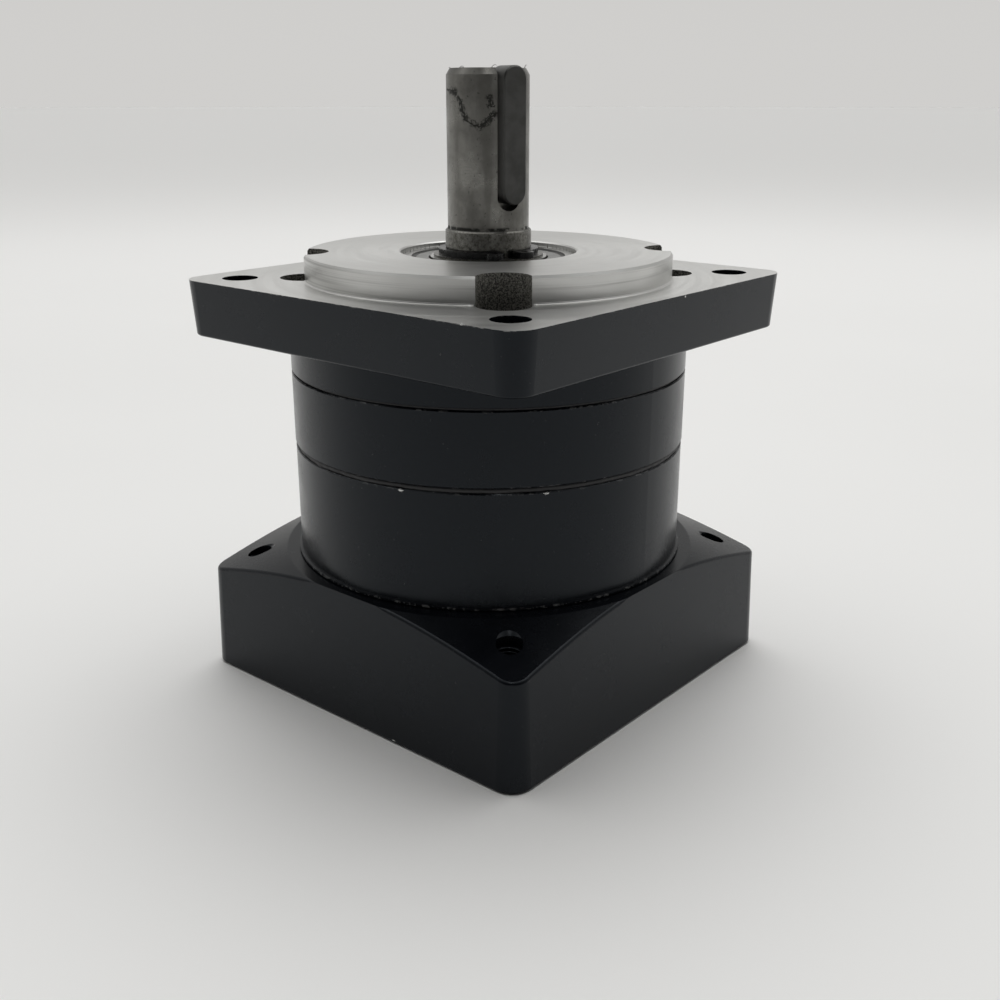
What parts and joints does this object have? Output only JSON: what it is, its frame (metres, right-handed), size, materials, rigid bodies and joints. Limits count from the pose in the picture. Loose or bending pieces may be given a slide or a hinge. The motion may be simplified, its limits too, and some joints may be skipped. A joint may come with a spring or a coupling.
{
  "type": "planetary gearbox",
  "caption": "Square-flanged inline planetary gearbox with a keyed output shaft, round ring-gear body and square motor adapter; the input turns faster than the output.",
  "frame": {"origin": "centre of the motor face, at the underside of the square adapter", "axes": "+Z along the shaft towards the output end; flange and adapter sides along X and Y"},
  "size_m": [0.0864, 0.0864, 0.1221],
  "materials": {
    "black_casing": "semi-matte black anodised aluminium",
    "flange_casting": "turned aluminium face and pilot, black coated elsewhere",
    "ground_steel": "ground and turned steel",
    "key_steel": "plain dark steel",
    "black_oxide_steel": "black oxide",
    "bearing_steel": "polished bearing steel",
    "bearing_shield": "pressed steel shield",
    "cage_brass": "satin brass",
    "sealant": "black sealant",
    "seal_rubber": "nitrile rubber"
  },
  "bodies": {
    "housing": {"front_housing": "flange_casting", "ring_gear": "black_casing", "input_housing": "black_casing", "motor_adapter": "black_casing", "joint_sealant": "sealant", "front_screws": "black_oxide_steel", "adapter_screws": "black_oxide_steel", "dowel_pins": "bearing_steel", "access_plug": "black_oxide_steel", "output_seal": "seal_rubber", "bearing_retaining_ring": "black_oxide_steel", "front_bearing_outer_race": "bearing_steel", "front_bearing_shields": "bearing_shield", "carrier_bearing_outer_race": "bearing_steel", "carrier_bearing_shields": "bearing_shield", "input_bearing_outer_race": "bearing_steel", "input_bearing_shields": "bearing_shield"},
    "output": {"output_shaft": "ground_steel", "carrier_front_plate": "ground_steel", "shaft_key": "key_steel", "shaft_circlip": "black_oxide_steel", "shim_washer": "ground_steel", "bearing_spacer": "ground_steel", "carrier_back_plate": "ground_steel", "carrier_screws": "black_oxide_steel", "planet_pin_1": "bearing_steel", "planet_pin_2": "bearing_steel", "planet_pin_3": "bearing_steel", "thrust_washers": "cage_brass", "front_bearing_inner_race": "bearing_steel", "carrier_bearing_inner_race": "bearing_steel"},
    "input": {"input_hub": "ground_steel", "sun_pinion": "ground_steel", "motor_bush": "cage_brass", "clamp_ring": "ground_steel", "clamp_screw": "black_oxide_steel", "hub_circlip": "black_oxide_steel", "input_bearing_inner_race": "bearing_steel"},
    "planet_1": {"planet_gear_1": "ground_steel"},
    "needles_1": {"needle_rollers_1": "bearing_steel"},
    "planet_2": {"planet_gear_2": "ground_steel"},
    "needles_2": {"needle_rollers_2": "bearing_steel"},
    "planet_3": {"planet_gear_3": "ground_steel"},
    "needles_3": {"needle_rollers_3": "bearing_steel"},
    "front_bearing_cage_set": {"front_bearing_balls": "bearing_steel", "front_bearing_cage": "cage_brass"},
    "carrier_bearing_cage_set": {"carrier_bearing_balls": "bearing_steel", "carrier_bearing_cage": "cage_brass"},
    "input_bearing_cage_set": {"input_bearing_balls": "bearing_steel", "input_bearing_cage": "cage_brass"}
  },
  "joints": [
    {"name": "output_spin", "type": "hinge", "parent": "housing", "child": "output", "pos_m": [0, 0, 0.09], "axis": [0, 0, 1], "continuous": true},
    {"name": "input_spin", "type": "hinge", "parent": "housing", "child": "input", "pos_m": [0, 0, 0.02], "axis": [0, 0, 1], "continuous": true},
    {"name": "planet_1_spin", "type": "hinge", "parent": "output", "child": "planet_1", "pos_m": [0.018, 0, 0.0577], "axis": [0, 0, 1], "continuous": true},
    {"name": "needles_1_orbit", "type": "hinge", "parent": "output", "child": "needles_1", "pos_m": [0.018, 0, 0.0577], "axis": [0, 0, 1], "continuous": true},
    {"name": "planet_2_spin", "type": "hinge", "parent": "output", "child": "planet_2", "pos_m": [-0.009, 0.01559, 0.0577], "axis": [0, 0, 1], "continuous": true},
    {"name": "needles_2_orbit", "type": "hinge", "parent": "output", "child": "needles_2", "pos_m": [-0.009, 0.01559, 0.0577], "axis": [0, 0, 1], "continuous": true},
    {"name": "planet_3_spin", "type": "hinge", "parent": "output", "child": "planet_3", "pos_m": [-0.009, -0.01559, 0.0577], "axis": [0, 0, 1], "continuous": true},
    {"name": "needles_3_orbit", "type": "hinge", "parent": "output", "child": "needles_3", "pos_m": [-0.009, -0.01559, 0.0577], "axis": [0, 0, 1], "continuous": true},
    {"name": "front_bearing_cage_spin", "type": "hinge", "parent": "housing", "child": "front_bearing_cage_set", "pos_m": [0, 0, 0.0817], "axis": [0, 0, 1], "continuous": true},
    {"name": "carrier_bearing_cage_spin", "type": "hinge", "parent": "housing", "child": "carrier_bearing_cage_set", "pos_m": [0, 0, 0.0426], "axis": [0, 0, 1], "continuous": true},
    {"name": "input_bearing_cage_spin", "type": "hinge", "parent": "housing", "child": "input_bearing_cage_set", "pos_m": [0, 0, 0.0326], "axis": [0, 0, 1], "continuous": true}
  ],
  "couplings": [
    {"joint": "input_spin", "follows": "output_spin", "ratio": 5},
    {"joint": "planet_1_spin", "follows": "output_spin", "ratio": -2.6667},
    {"joint": "needles_1_orbit", "follows": "output_spin", "ratio": -1.6},
    {"joint": "planet_2_spin", "follows": "output_spin", "ratio": -2.6667},
    {"joint": "needles_2_orbit", "follows": "output_spin", "ratio": -1.6},
    {"joint": "planet_3_spin", "follows": "output_spin", "ratio": -2.6667},
    {"joint": "needles_3_orbit", "follows": "output_spin", "ratio": -1.6},
    {"joint": "front_bearing_cage_spin", "follows": "output_spin", "ratio": 0.4096},
    {"joint": "carrier_bearing_cage_spin", "follows": "output_spin", "ratio": 0.4569},
    {"joint": "input_bearing_cage_spin", "follows": "output_spin", "ratio": 2.1493}
  ]
}
